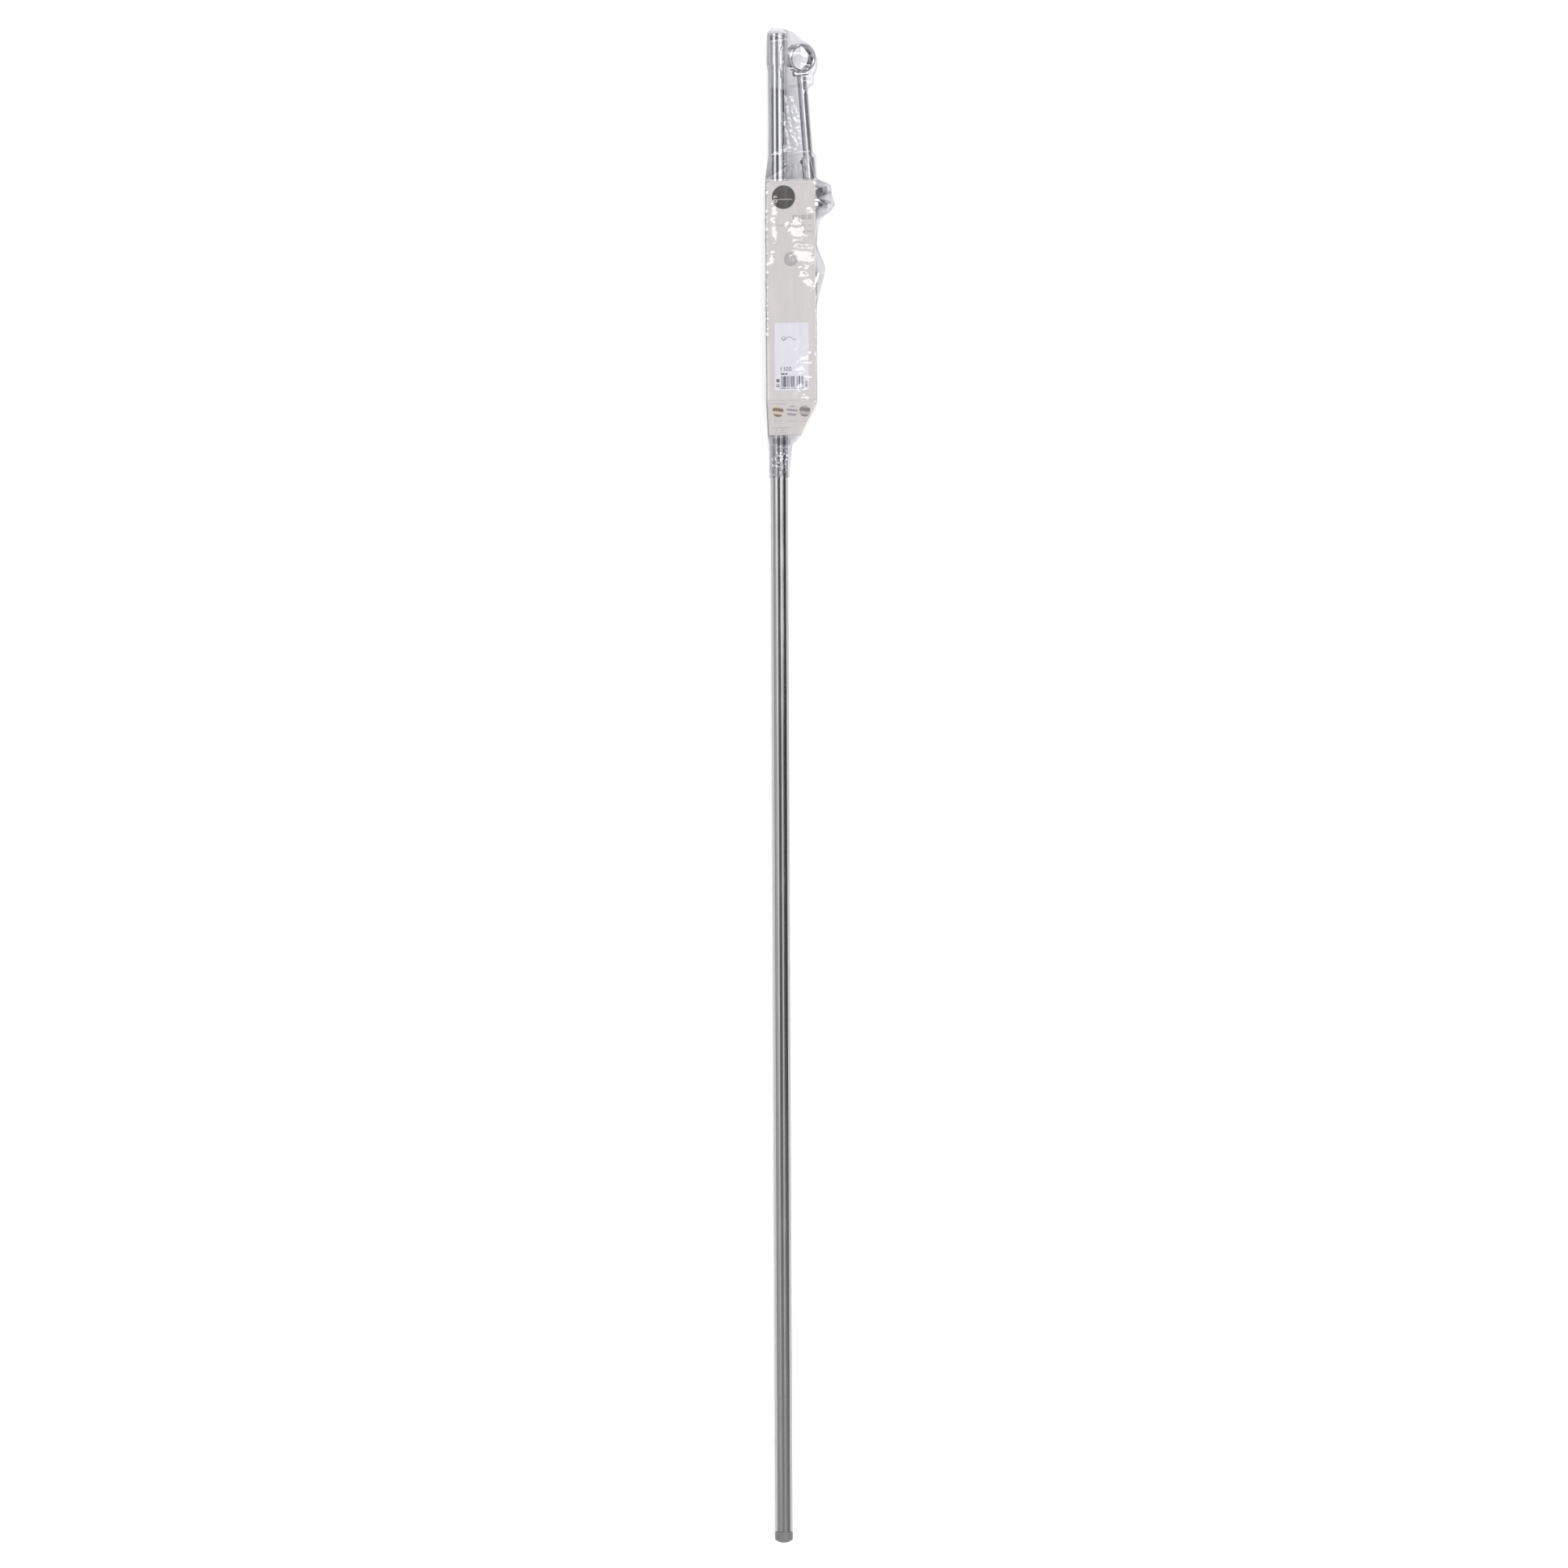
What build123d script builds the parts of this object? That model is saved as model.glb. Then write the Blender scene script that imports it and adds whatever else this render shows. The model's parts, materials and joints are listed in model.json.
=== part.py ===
from build123d import *
import os
from math import cos, pi, radians, sin, sqrt, tan

# Telescopic metal curtain pole kit in its clear retail wrap, lying on a surface. Millimetres, +Z up.
# The pole runs along Y with its capped end at +Y. The card faces +Z. Places along the pack are
# given as s, the distance from the closed top of the end cap down towards -Y, and places across it
# as dx, the distance from the pole's axis towards +X.

os.makedirs("parts", exist_ok=True)

# ---- driving dimensions ----
pack_length = 1612.0        # closed top of the end cap to the tip of the end adapter
crown_height = 6.0          # gathered film beyond the end cap
film_wall = 0.4
film_gap = 0.6              # room between the film and what it holds
film_left = -14.6           # outermost film, as dx
film_right = 62.4

tube_r = 9.5
tube_wall = 0.8
inner_tube_r = 8.0
bush_clearance = 0.05       # radial, sliding plastic on metal
cap_r = 11.0
cap_length = 34.0
cap_top = 3.0
cap_wall = 0.9
adapter_length = 11.8
adapter_dome = 3.6

arm_r = 5.0
arm_clearance = 0.06
socket_r = 7.0
socket_top = 41.0           # all bracket heights are measured from its wall face
socket_floor = 10.0
arm_travel = 6.0            # how far the arm can be pushed in before the wrap stops it
arm_foot = socket_floor + arm_travel + 0.6
bracket_reach = 147.0       # wall face to the centre of the ring
plate_r = 22.2
plate_thickness = 3.0
rosette_r = 18.5
rosette_top = 8.5
ring_bore_r = 12.5
ring_r = 15.5
ring_half_width = 7.0
lug_r = 3.4
lug_height = bracket_reach - 16.0
lug_screw_end = -9.6
lug_far_end = 7.2
stud_r = 3.0
grub_r = 2.0

card_width = 53.2
card_thickness = 0.5
card_start = 158.6
card_crease = 392.7
card_end = 430.0
card_left = -12.6
card_tilt = 12.0            # degrees, rising towards +X
card_rise = 1.9             # degrees, rising towards -Y
card_fold = 14.0            # degrees that the end beyond the crease bends down
corner_turn = 96.0          # degrees that the loose corner is turned back
corner_start = 2.0          # from the crease to where the corner's fold meets the long edge
corner_width = 21.0         # of the end edge that is turned back

pole_x = -(film_left + film_right) / 2
pole_z = film_wall + film_gap + cap_r
pole_top_y = (pack_length - crown_height) / 2
hull_sides = 20


# ---- places and small helpers ----
def spot(dx, s, z):
    return Vector(pole_x + dx, pole_top_y - s, z)


def plane_at(origin, normal, across=(1, 0, 0)):
    """A plane whose x direction is as near as can be to the one asked for."""
    normal = Vector(*normal).normalized()
    across = Vector(*across)
    across = (across - normal * across.dot(normal)).normalized()
    return Plane(origin=origin, x_dir=across, z_dir=normal)


def down_pole(s):
    """A plane across the pole's axis that faces the free end."""
    return plane_at(spot(0, s, pole_z), (0, -1, 0))


def shifted(base, x=0.0, y=0.0, z=0.0):
    """The same plane moved by local distances."""
    return Plane(origin=base.from_local_coords(Vector(x, y, z)), x_dir=base.x_dir, z_dir=base.z_dir)


def out_of(base, z, direction):
    """A plane on base's axis at a height, facing as nearly as can be in a direction of the frame."""
    direction = Vector(*direction)
    direction = direction - base.z_dir * direction.dot(base.z_dir)
    return plane_at(base.from_local_coords(Vector(0, 0, z)), tuple(direction), tuple(base.z_dir))


def facing(base, x, y, z, direction):
    """A plane at a local point of base whose normal is a local direction of base."""
    origin = base.from_local_coords(Vector(x, y, z))
    tip = base.from_local_coords(Vector(x + direction[0], y + direction[1], z + direction[2]))
    return plane_at(origin, tuple(tip - origin), tuple(base.z_dir))


def turn(base, outline, mode=Mode.ADD):
    """Revolve an outline of (radius, height) points about the plane's normal."""
    with BuildSketch(Plane(origin=base.origin, x_dir=base.x_dir, z_dir=base.y_dir * -1)) as profile:
        with BuildLine():
            Polyline(*outline, close=True)
        make_face()
    revolve(profile.sketch, axis=Axis(base.origin, base.z_dir), mode=mode)


def save(name, part):
    part.label = name
    export_step(part, f"parts/{name}.step")


# ---- pole ----
tube_start = cap_top + 0.5
tube_end = pack_length - adapter_length - 0.2
tube_bore_r = tube_r - tube_wall
tube_base = down_pole(tube_start)
tube_length = tube_end - tube_start

with BuildPart() as outer_tube:
    edge = 0.25
    turn(
        tube_base,
        [
            (tube_bore_r, 0),
            (tube_r - edge, 0),
            (tube_r, edge),
            (tube_r, tube_length - edge),
            (tube_r - edge, tube_length),
            (tube_bore_r, tube_length),
        ],
    )
save("outer_tube", outer_tube.part)

# A plastic ring pressed into the mouth of the outer tube guides the inner one.
with BuildPart() as mouth_bush:
    bush_length = 18.0
    guide_r = inner_tube_r + bush_clearance
    turn(
        down_pole(tube_end - bush_length),
        [
            (guide_r, 1.0),
            (guide_r + 0.3, 0),
            (tube_bore_r - 0.02, 0),
            (tube_bore_r - 0.02, bush_length),
            (guide_r, bush_length),
        ],
    )
save("mouth_bush", mouth_bush.part)

inner_start = 34.0
inner_bore_r = inner_tube_r - tube_wall
inner_end = pack_length - adapter_length
with BuildPart() as inner_tube:
    turn(
        down_pole(inner_start),
        [
            (inner_bore_r, 0),
            (inner_tube_r, 0),
            (inner_tube_r, inner_end - inner_start),
            (inner_bore_r, inner_end - inner_start),
        ],
    )
save("inner_tube", inner_tube.part)

# The plug on the hidden end of the inner tube slides in the outer tube's bore.
with BuildPart() as slide_plug:
    collar = 12.0
    spigot = 22.0
    slide_r = tube_bore_r - bush_clearance
    turn(
        down_pole(inner_start - collar),
        [
            (0, 2.0),
            (slide_r - 2.5, 2.0),
            (slide_r - 2.0, 0),
            (slide_r - 0.6, 0),
            (slide_r, 0.6),
            (slide_r, collar),
            (inner_bore_r - 0.02, collar),
            (inner_bore_r - 0.02, collar + spigot - 1.0),
            (inner_bore_r - 0.8, collar + spigot),
            (0, collar + spigot),
        ],
    )
    # Three grooves let the collar flex.
    groove_plane = down_pole(inner_start - collar + 3.0)
    for step in range(3):
        turn(
            shifted(groove_plane, z=3.0 * step),
            [(slide_r - 0.5, 0), (slide_r + 1.0, 0), (slide_r + 1.0, 1.0), (slide_r - 0.5, 1.0)],
            mode=Mode.SUBTRACT,
        )
save("slide_plug", slide_plug.part)

# The adapter brings the inner tube's end up to the outer tube's diameter for the second end cap.
with BuildPart() as end_adapter:
    adapter_base = down_pole(inner_end)
    adapter_spigot = 20.0
    with BuildSketch(Plane(origin=adapter_base.origin, x_dir=(1, 0, 0), z_dir=adapter_base.y_dir * -1)):
        with BuildLine():
            rim = adapter_length - adapter_dome
            Polyline(
                (0, adapter_length),
                (0, -adapter_spigot),
                (inner_bore_r - 0.8, -adapter_spigot),
                (inner_bore_r - 0.02, 1.0 - adapter_spigot),
                (inner_bore_r - 0.02, 0),
                (tube_r - 0.3, 0),
                (tube_r, 0.3),
                (tube_r, rim),
            )
            dome_r = (tube_r**2 + adapter_dome**2) / (2 * adapter_dome)
            half = (tube_r / 2, adapter_length - dome_r + sqrt(dome_r**2 - (tube_r / 2) ** 2))
            ThreePointArc((tube_r, rim), half, (0, adapter_length))
        make_face()
    revolve(axis=Axis(adapter_base.origin, adapter_base.z_dir))
save("end_adapter", end_adapter.part)


# ---- end caps ----
def cap_shell(base):
    """Cap with its closed top on the plane and its open end along the normal, two fine grooves."""
    bore = cap_r - cap_wall
    edge = 0.5
    turn(
        base,
        [
            (0, 0),
            (cap_r - edge, 0),
            (cap_r, edge),
            (cap_r, cap_length - 0.2),
            (cap_r - 0.2, cap_length),
            (bore, cap_length),
            (bore, cap_top),
            (0, cap_top),
        ],
    )
    for third in (1, 2):
        middle = cap_length * third / 3
        turn(
            base,
            [(cap_r + 1.0, middle - 0.5), (cap_r - 0.45, middle), (cap_r + 1.0, middle + 0.5)],
            mode=Mode.SUBTRACT,
        )


def cap_sleeve(base):
    """Plastic sleeve in the cap that grips the tube."""
    outer = cap_r - cap_wall - 0.02
    inner = tube_r + 0.02
    length = cap_length - cap_top - 1.0
    turn(
        shifted(base, z=cap_top + 0.4),
        [(inner + 0.3, length), (inner, length - 0.6), (inner, 0), (outer, 0), (outer, length)],
    )


spare_turn = 20.0
spare_up = (sin(radians(spare_turn)), cos(radians(spare_turn)), 0)
spare_base = plane_at(
    spot(38.1, 254.4, pole_z), (-spare_up[0], -spare_up[1], 0), (spare_up[1], -spare_up[0], 0)
)

with BuildPart() as top_end_cap:
    cap_shell(down_pole(0))
save("top_end_cap", top_end_cap.part)

with BuildPart() as top_cap_liner:
    cap_sleeve(down_pole(0))
save("top_cap_liner", top_cap_liner.part)

with BuildPart() as spare_end_cap:
    cap_shell(spare_base)
save("spare_end_cap", spare_end_cap.part)

with BuildPart() as spare_cap_liner:
    cap_sleeve(spare_base)
save("spare_cap_liner", spare_cap_liner.part)


# ---- brackets ----
def bracket_frame(wall_dx, wall_s, wall_z, toward, lean, pitch, ring_turn):
    """Wall face plane of a bracket: its normal runs up the arm, its y direction is the ring's axis."""
    lean = radians(lean)
    pitch = radians(pitch)
    ring_turn = radians(ring_turn)
    normal = (-sin(lean) * cos(pitch), toward * cos(lean) * cos(pitch), sin(pitch))
    return plane_at(spot(wall_dx, wall_s, wall_z), normal, (cos(ring_turn), 0, -sin(ring_turn)))


wall_z = film_wall + film_gap + plate_r + 0.1
brackets = {
    "a": bracket_frame(34.9, 173.2, wall_z, 1, 4.2, 6.0, 27.0),
    "b": bracket_frame(34.9, 178.4, wall_z, -1, 4.84, 3.2, 60.0),
}
wall_hole_x = 12.5
wall_hole_r = 2.4
wall_sink_r = 4.6
centre_head_r = 4.8
centre_shank_r = 2.5
socket_screw_height = socket_top - 5.0
socket_screw_way = (-0.98, 0, -0.17)
grub_clearance = 0.02


def hex_recess(plane, across_flats, depth):
    """Hexagon socket sunk from the plane against its normal."""
    with BuildSketch(plane) as hexagon:
        RegularPolygon(across_flats / sqrt(3), 6)
    extrude(hexagon.sketch, amount=-depth, mode=Mode.SUBTRACT)


for side, base in brackets.items():
    # Wall plate, with a countersunk hole on the axis and two for the wall screws.
    with BuildPart() as wall_plate:
        turn(
            base,
            [
                (0, 0),
                (plate_r - 0.3, 0),
                (plate_r, 0.3),
                (plate_r, plate_thickness - 0.8),
                (plate_r - 0.8, plate_thickness),
                (0, plate_thickness),
            ],
        )
        sink = 2.6
        turn(
            base,
            [
                (0, -1),
                (centre_head_r + 0.1, -1),
                (centre_head_r + 0.1, 0),
                (centre_shank_r + 0.15, sink),
                (centre_shank_r + 0.15, plate_thickness + 1),
                (0, plate_thickness + 1),
            ],
            mode=Mode.SUBTRACT,
        )
        for hole_x in (-wall_hole_x, wall_hole_x):
            with Locations(shifted(base, x=hole_x, z=plate_thickness)):
                CounterSinkHole(wall_hole_r, wall_sink_r, depth=plate_thickness + 1)
    save(f"wall_plate_{side}", wall_plate.part)

    with BuildPart() as centre_screw:
        turn(
            base,
            [
                (0, 0.15),
                (centre_head_r - 0.25, 0.15),
                (centre_shank_r - 0.02, sink),
                (centre_shank_r - 0.02, socket_floor - 1.4),
                (centre_shank_r - 0.5, socket_floor - 0.9),
                (0, socket_floor - 0.9),
            ],
        )
        hex_recess(shifted(base, z=0.15).offset(1.8), 3.0, 3.0)
    save(f"centre_screw_{side}", centre_screw.part)

    # Hollow rosette that hides the wall screws' heads.
    with BuildPart() as rosette:
        skin = 1.2
        turn(
            base,
            [
                (rosette_r - skin, plate_thickness),
                (rosette_r - 0.2, plate_thickness),
                (rosette_r, plate_thickness + 0.2),
                (rosette_r, rosette_top - 1.3),
                (rosette_r - 0.4, rosette_top - 0.4),
                (rosette_r - 1.3, rosette_top),
                (socket_r + 0.08, rosette_top),
                (socket_r + 0.08, rosette_top - skin),
                (rosette_r - skin, rosette_top - skin),
            ],
        )
    save(f"rosette_{side}", rosette.part)

    # Socket tube that the arm slides into.
    with BuildPart() as socket:
        bore = arm_r + arm_clearance
        turn(
            base,
            [
                (centre_shank_r, plate_thickness),
                (socket_r, plate_thickness),
                (socket_r, socket_top - 0.5),
                (socket_r - 0.5, socket_top),
                (bore + 0.3, socket_top),
                (bore, socket_top - 0.3),
                (bore, socket_floor),
                (centre_shank_r, socket_floor),
            ],
        )
        grub_out = out_of(base, socket_screw_height, socket_screw_way)
        with BuildSketch(grub_out.offset(arm_r - 1.0)):
            Circle(grub_r + grub_clearance)
        extrude(amount=4.0, mode=Mode.SUBTRACT)
    save(f"socket_{side}", socket.part)

    with BuildPart() as socket_screw:
        grub_start = arm_r + 0.08
        with BuildSketch(grub_out.offset(grub_start)):
            Circle(grub_r)
        extrude(amount=3.4)
        chamfer(socket_screw.edges().filter_by(GeomType.CIRCLE), 0.3)
        hex_recess(grub_out.offset(grub_start + 3.4), 2.0, 1.6)
    save(f"socket_screw_{side}", socket_screw.part)

    # Arm rod with a turned-down stud for the ring's lug.
    with BuildPart() as arm:
        shoulder = lug_height - lug_r - 0.15
        turn(
            base,
            [
                (0, arm_foot),
                (arm_r - 0.8, arm_foot),
                (arm_r, arm_foot + 0.8),
                (arm_r, shoulder - 0.5),
                (arm_r - 0.5, shoulder),
                (stud_r, shoulder),
                (stud_r, lug_height + 2.6),
                (0, lug_height + 2.6),
            ],
        )
    save(f"arm_{side}", arm.part)

    # Ring with the cross lug that grips the stud.
    with BuildPart() as ring:
        front = facing(base, 0, 0, bracket_reach, (0, -1, 0))
        bevel = 1.0
        lug_plane = facing(base, lug_screw_end, 0, lug_height, (1, 0, 0))
        with BuildSketch(lug_plane):
            Circle(lug_r)
        extrude(amount=lug_far_end - lug_screw_end)
        chamfer(ring.edges().filter_by(GeomType.CIRCLE), 0.4)
        turn(
            front,
            [
                (ring_bore_r - 2.0, -ring_half_width),
                (ring_r - bevel, -ring_half_width),
                (ring_r, bevel - ring_half_width),
                (ring_r, ring_half_width - bevel),
                (ring_r - bevel, ring_half_width),
                (ring_bore_r - 2.0, ring_half_width),
            ],
        )
        inner_bevel = 0.7
        turn(
            front,
            [
                (0, -ring_half_width - 1.0),
                (ring_bore_r + inner_bevel, -ring_half_width - 1.0),
                (ring_bore_r + inner_bevel, -ring_half_width),
                (ring_bore_r, inner_bevel - ring_half_width),
                (ring_bore_r, ring_half_width - inner_bevel),
                (ring_bore_r + inner_bevel, ring_half_width),
                (ring_bore_r + inner_bevel, ring_half_width + 1.0),
                (0, ring_half_width + 1.0),
            ],
            mode=Mode.SUBTRACT,
        )
        with BuildSketch(shifted(base, z=lug_height - lug_r - 1.0)):
            Circle(stud_r + 0.05)
        extrude(amount=lug_r + 1.0 + 2.7, mode=Mode.SUBTRACT)
        with BuildSketch(lug_plane):
            Circle(grub_r + grub_clearance)
        extrude(amount=-lug_screw_end - stud_r + 0.5, mode=Mode.SUBTRACT)
    save(f"ring_{side}", ring.part)

    with BuildPart() as ring_screw:
        screw_length = -lug_screw_end - stud_r - 0.15
        screw_out = facing(base, lug_screw_end - 0.05, 0, lug_height, (-1, 0, 0))
        with BuildSketch(screw_out):
            Circle(grub_r)
        extrude(amount=-screw_length)
        chamfer(ring_screw.edges().filter_by(GeomType.CIRCLE), 0.3)
        hex_recess(screw_out, 2.0, 1.8)
    save(f"ring_screw_{side}", ring_screw.part)


# ---- fixings behind the card ----
screw_s = 345.0
screw_length = 50.0
screw_left = 13.4
screw_pitch = 6.7
head_r = 4.2
shank_r = 2.0
fixing_floor = film_wall + film_gap
with BuildPart() as wall_screws:
    for slot in range(4):
        # Every second screw lies the other way round, so that heads sit beside shanks.
        way = 1 - 2 * (slot % 2)
        head_s = screw_s + screw_length * (slot % 2)
        screw_base = plane_at(
            spot(screw_left + screw_pitch * slot, head_s, fixing_floor + head_r + 0.1), (0, -way, 0)
        )
        turn(
            screw_base,
            [
                (0, 0),
                (head_r, 0),
                (head_r, 0.4),
                (shank_r, 3.0),
                (shank_r, screw_length - 6.0),
                (0.2, screw_length),
                (0, screw_length),
            ],
        )
        with BuildSketch(screw_base):
            Rectangle(4.6, 0.9)
            Rectangle(0.9, 4.6)
        extrude(amount=1.6, mode=Mode.SUBTRACT)
save("wall_screws", wall_screws.part)

plug_r = 4.0
plug_length = 38.0
plug_row_z = fixing_floor + 2 * head_r + plug_r + 1.4
plug_left = 14.4
plug_pitch = 8.9
plug_rise = 8.6             # from the row of three to the plug that lies on it
plug_places = [(plug_left + plug_pitch * place, plug_row_z) for place in range(3)]
plug_places.append((19.5, plug_row_z + plug_rise))
with BuildPart() as wall_plugs:
    for plug_dx, plug_z in plug_places:
        plug_base = plane_at(spot(plug_dx, screw_s + 3.0, plug_z), (0, -1, 0))
        turn(
            plug_base,
            [
                (1.8, 0),
                (plug_r + 0.4, 0),
                (plug_r + 0.4, 1.0),
                (plug_r, 1.8),
                (plug_r, plug_length - 6.0),
                (plug_r - 1.4, plug_length),
                (1.8, plug_length),
            ],
        )
        with BuildSketch(shifted(plug_base, z=12.0)):
            Rectangle(2 * plug_r + 2.0, 1.0)
        extrude(amount=plug_length, mode=Mode.SUBTRACT)
save("wall_plugs", wall_plugs.part)

key_flats = 2.0
key_left = 17.0
key_long = 46.0
key_short = 16.0
with BuildPart() as hex_key:
    key_z = plug_row_z + plug_rise + plug_r + key_flats
    key_start = spot(key_left, screw_s, key_z)
    key_corner = spot(key_left, screw_s + key_long, key_z)
    key_tip = spot(key_left + key_short, screw_s + key_long, key_z)
    with BuildLine() as key_path:
        FilletPolyline(key_start, key_corner, key_tip, radius=5.0)
    with BuildSketch(plane_at(key_start, (0, -1, 0))):
        RegularPolygon(key_flats / sqrt(3), 6)
    sweep(path=key_path.wires()[0])
save("hex_key", hex_key.part)

# ---- card and sticker ----
card_z = wall_z + plate_r + 1.4


def card_height(dx, s):
    """Height of the card's back at a place on its flat part."""
    return card_z + (dx - 34.9) * tan(radians(card_tilt)) + (s - card_start) * tan(radians(card_rise))


def card_plane(s):
    """A plane on the card's left edge whose x runs down the card and y is its thickness."""
    run = Vector(0, -cos(radians(card_rise)), sin(radians(card_rise)))
    across = Vector(cos(radians(card_tilt)), 0, sin(radians(card_tilt)))
    across = across - run * across.dot(run)
    return plane_at(spot(card_left, s, card_height(card_left, s)), tuple(across * -1), tuple(run))


# The flap beyond the crease: its plane's x runs down the card and its y across to the right.
fold = radians(card_fold)
crease_plane = card_plane(card_crease)
flap_plane = Plane(
    origin=crease_plane.origin,
    x_dir=crease_plane.x_dir * cos(fold) - crease_plane.y_dir * sin(fold),
    z_dir=crease_plane.y_dir * cos(fold) + crease_plane.x_dir * sin(fold),
)
flat_run = (card_crease - card_start) / cos(radians(card_rise))
fold_run = (card_end - card_crease) / cos(radians(card_fold - card_rise))

# The loose corner of the flap is turned back along a slanted line.
fold_start = (corner_start, card_width)
fold_stop = (fold_run, card_width - corner_width)
fold_length = sqrt((fold_run - corner_start) ** 2 + corner_width**2)
corner_along = (fold_run - corner_start) ** 2 / fold_length
corner_out = (fold_run - corner_start) * corner_width / fold_length
corner_slant = flap_plane.from_local_coords(Vector(fold_stop[0], fold_stop[1], 0))
corner_slant -= flap_plane.from_local_coords(Vector(fold_start[0], fold_start[1], 0))
corner_slant = corner_slant.normalized()
outward = flap_plane.z_dir.cross(corner_slant)
corner_plane = Plane(
    origin=flap_plane.from_local_coords(Vector(fold_start[0], fold_start[1], card_thickness / 2)),
    x_dir=corner_slant,
    z_dir=flap_plane.z_dir * cos(radians(corner_turn)) + outward * sin(radians(corner_turn)),
)
with BuildPart() as header_card:
    with BuildSketch(card_plane(card_start)):
        with BuildLine():
            back = [(0, 0), (flat_run, 0)]
            back.append((flat_run + fold_run * cos(fold), -fold_run * sin(fold)))
            front = [(x, y + card_thickness) for x, y in reversed(back)]
            Polyline(*back, *front, close=True)
        make_face()
    extrude(amount=-card_width)
    with BuildSketch(flap_plane):
        Polygon(
            fold_start,
            fold_stop,
            (fold_run + 5.0, card_width + 5.0),
            (0.0, card_width + 5.0),
            align=None,
        )
    extrude(amount=2 * card_thickness, mode=Mode.SUBTRACT)
    # The turned corner laps a little into the flap, so that the card stays one piece.
    lap = 0.3
    with BuildSketch(shifted(corner_plane, z=-card_thickness / 2)):
        Polygon(
            (lap, -lap),
            (fold_length - lap, -lap),
            (fold_length, 0),
            (corner_along, corner_out),
            (0, 0),
            align=None,
        )
    extrude(amount=card_thickness)
save("header_card", header_card.part)

sticker_start = 309.6
sticker_end = 383.0
sticker_inset = 7.8
sticker_width = 38.0
sticker_thickness = 0.12
with BuildPart() as label_sticker:
    middle = (sticker_start + sticker_end) / 2
    plane = card_plane(middle)
    on_card = Plane(
        origin=plane.from_local_coords(Vector(0, card_thickness, -sticker_inset - sticker_width / 2)),
        x_dir=plane.x_dir,
        z_dir=plane.y_dir,
    )
    with BuildSketch(on_card):
        RectangleRounded(sticker_end - sticker_start, sticker_width, 3.0)
    extrude(amount=sticker_thickness)
save("label_sticker", label_sticker.part)


# ---- film ----
def arm_circle(side, s, r):
    """Circle round a bracket's axis where a station crosses it."""
    base = brackets[side]
    height = (base.origin.Y - (pole_top_y - s)) / -base.z_dir.Y
    centre = base.origin + base.z_dir * height
    return (centre.X - pole_x, centre.Z, r)


def ring_circle(side, s):
    """Circle that holds the ring however it is turned and however far its arm is pushed in."""
    base = brackets[side]
    reaches = (bracket_reach, bracket_reach - arm_travel)
    centres = sorted(pole_top_y - (base.origin + base.z_dir * reach).Y for reach in reaches)
    past = max(centres[0] - s, s - centres[1], 0.0)
    return arm_circle(side, s, max(sqrt(max(ring_sweep_r**2 - past**2, 0.0)), lug_sweep_r))


def card_edges(s):
    """Small circles on the card's two long edges, and on its turned corner beyond the crease."""
    right = card_left + card_width * cos(radians(card_tilt))
    if s <= card_crease:
        return [(dx, card_height(dx, s) + 0.3, 0.6) for dx in (card_left, right)]
    down = (s - card_crease) / cos(radians(card_fold - card_rise))
    slanted = min(1.0, max(0.0, (down - corner_start) / (fold_run - corner_start)))
    corner_depth = corner_out * min(slanted * fold_length / corner_along, 1.0)
    edges = []
    for across in (0.0, card_width - corner_width * slanted):
        place = flap_plane.from_local_coords(Vector(down, across, card_thickness / 2))
        edges.append((place.X - pole_x, place.Z, 0.7))
    place += corner_plane.y_dir * corner_depth
    edges.append((place.X - pole_x, place.Z, 0.8))
    return edges


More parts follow.
